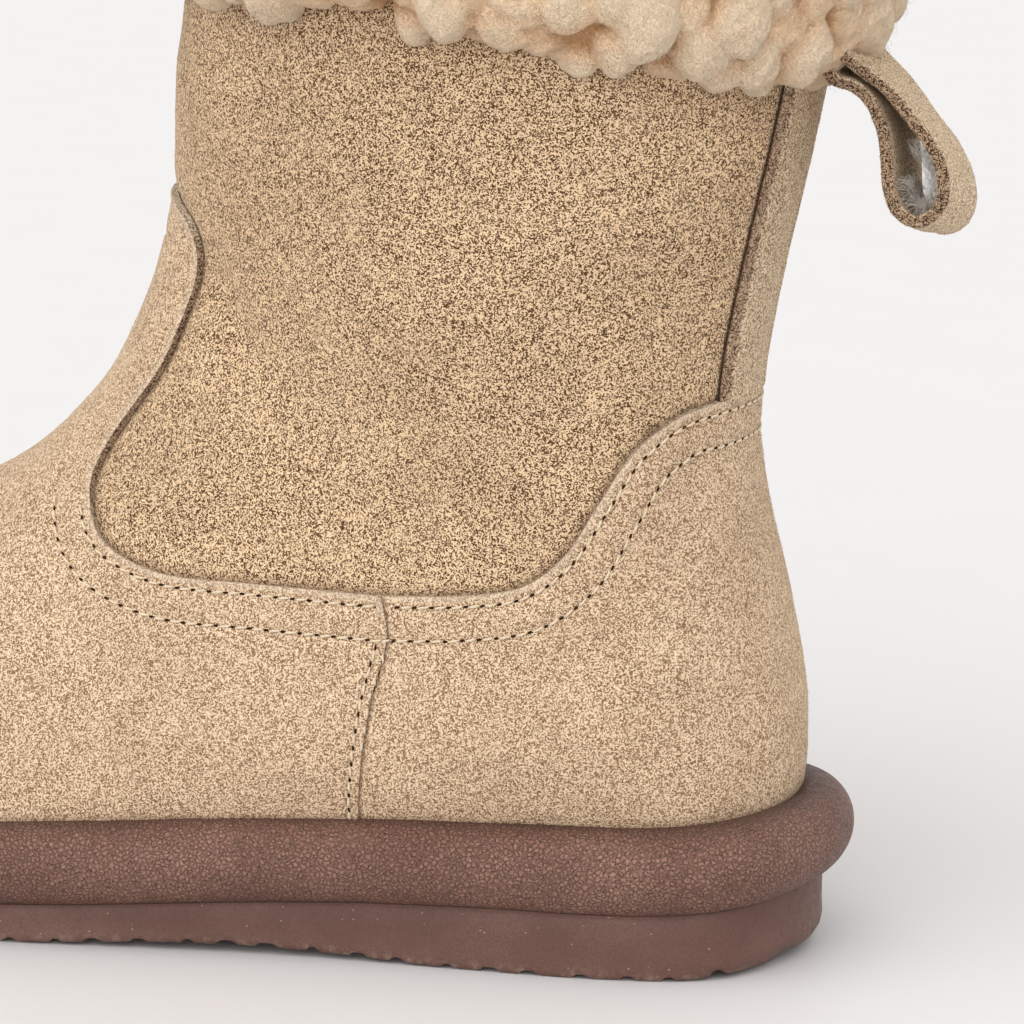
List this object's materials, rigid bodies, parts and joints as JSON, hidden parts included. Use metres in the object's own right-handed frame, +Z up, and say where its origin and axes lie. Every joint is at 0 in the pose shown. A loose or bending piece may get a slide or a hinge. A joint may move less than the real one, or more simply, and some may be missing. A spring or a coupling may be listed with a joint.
{
  "type": "sheepskin boot",
  "caption": "Left ankle boot of suede with a fleece lining, folded fleece cuff, heel pull loop, rolled-edge midsole and a lugged rubber outsole",
  "frame": {"origin": "on the floor, at the middle of the heel's flat spot", "axes": "+X from the heel to the toe, +Y to the outer side of the left foot, +Z up"},
  "size_m": [0.3029, 0.1324, 0.236],
  "materials": {
    "outsole_rubber": "matt moulded rubber, red-brown, with fine lugs",
    "midsole_foam": "soft moulded foam, brown, with a leather-like grain and a soft sheen",
    "fleece_lining": "trimmed curly wool pile, cream",
    "shaft_suede": "napped suede, sand brown",
    "panel_suede": "napped suede, light sand, with raw cut edges",
    "fleece_cuff": "long curly wool pile in clumps, cream with tan roots"
  },
  "bodies": {
    "root": {"outsole": "outsole_rubber", "midsole": "midsole_foam", "insole": "fleece_lining", "upper": "shaft_suede", "vamp": "panel_suede", "heel_counter": "panel_suede", "back_strip": "shaft_suede", "pull_loop": "panel_suede", "cuff": "fleece_cuff"}
  },
  "joints": []
}
